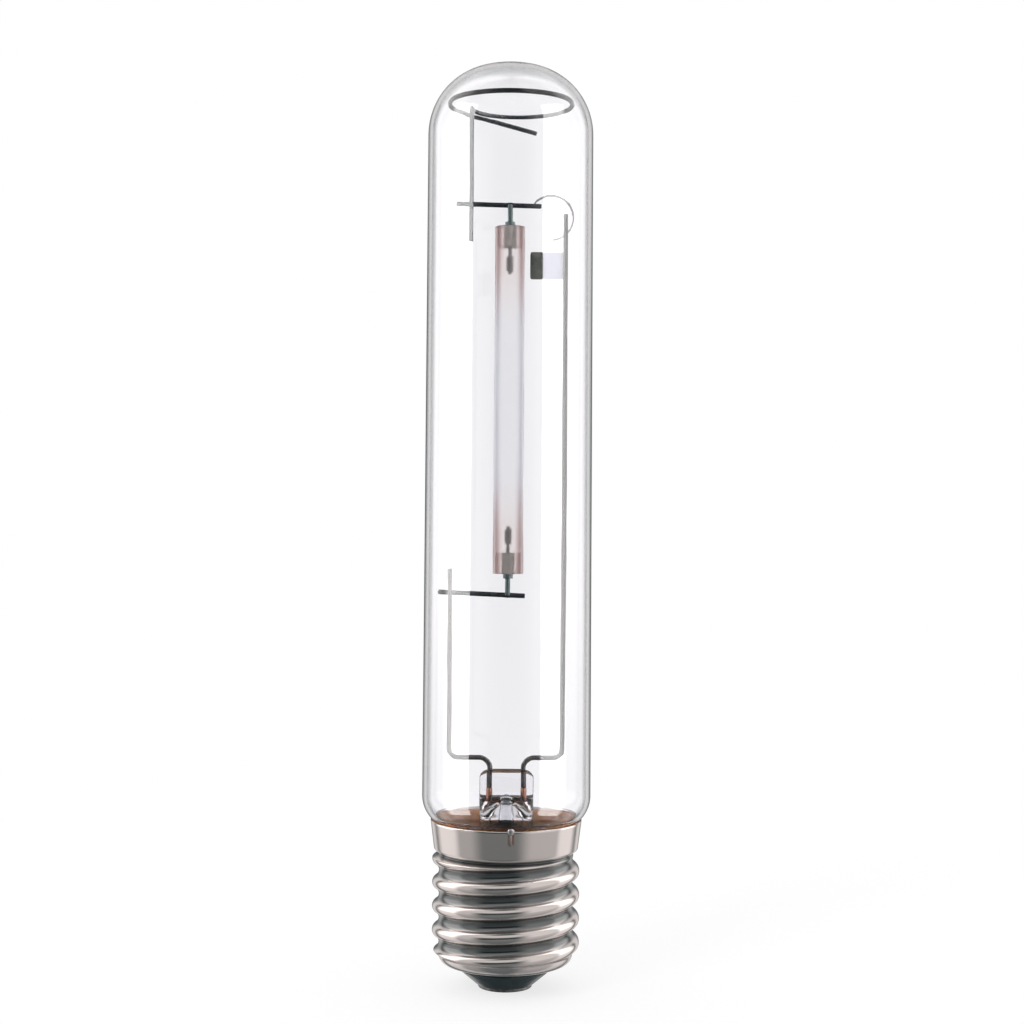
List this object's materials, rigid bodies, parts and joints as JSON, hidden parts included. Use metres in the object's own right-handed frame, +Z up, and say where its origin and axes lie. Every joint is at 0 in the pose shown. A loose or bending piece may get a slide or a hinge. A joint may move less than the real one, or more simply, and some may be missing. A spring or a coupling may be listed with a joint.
{
  "type": "high pressure sodium lamp",
  "caption": "Clear tubular discharge lamp with a slim ceramic arc tube on a wire frame inside, and a large rolled screw cap below.",
  "frame": {"origin": "middle of the end contact's face, on the lamp's axis", "axes": "+Z up the lamp's axis to the dome, +X to the return rod, -Y to the side lead's weld on the rim"},
  "size_m": [0.0448, 0.0448, 0.2454],
  "materials": {
    "clear_glass": "clear hard glass, smooth",
    "stem_glass": "clear lead glass",
    "nickel_rod": "nickel-plated drawn steel rod",
    "seal_copper": "copper-clad seal wire",
    "lead_wire": "drawn nickel wire",
    "bar_metal": "drawn steel bar",
    "spring_wire": "bright spring steel wire",
    "strap_metal": "thin rolled nickel strip",
    "getter_metal": "bright rolled nickel-plated strip",
    "getter_coating": "dark sintered metal powder",
    "alumina": "translucent sintered alumina",
    "plug_ceramic": "sintered alumina",
    "seal_frit": "dark sealing glass",
    "niobium": "grey niobium",
    "tungsten": "grey tungsten",
    "cap_nickel": "nickel-plated brass sheet, rolled",
    "insulator_glass": "dark moulded glass",
    "contact_metal": "dull plated brass",
    "solder": "tin solder",
    "cement": "brown basing cement, baked"
  },
  "bodies": {
    "root": {"outer_bulb": "clear_glass", "glass_stem": "stem_glass", "exhaust_tube": "stem_glass", "left_support_rod": "nickel_rod", "right_support_rod": "nickel_rod", "left_seal_pin": "seal_copper", "right_seal_pin": "seal_copper", "centre_lead": "lead_wire", "side_lead": "lead_wire", "lower_cross_bar": "bar_metal", "upper_cross_bar": "bar_metal", "dome_spring": "spring_wire", "flexible_strap": "strap_metal", "getter_strip": "getter_metal", "getter_pellet": "getter_coating", "arc_tube": "alumina", "lower_end_plug": "plug_ceramic", "upper_end_plug": "plug_ceramic", "lower_seal_frit": "seal_frit", "upper_seal_frit": "seal_frit", "lower_niobium_tube": "niobium", "upper_niobium_tube": "niobium", "lower_lead_rod": "niobium", "upper_lead_rod": "niobium", "lower_electrode": "tungsten", "upper_electrode": "tungsten", "lower_electrode_coil": "tungsten", "upper_electrode_coil": "tungsten", "cap_shell": "cap_nickel", "cap_insulator": "insulator_glass", "contact_plate": "contact_metal", "contact_solder": "solder", "side_solder": "solder", "basing_cement": "cement"}
  },
  "joints": []
}
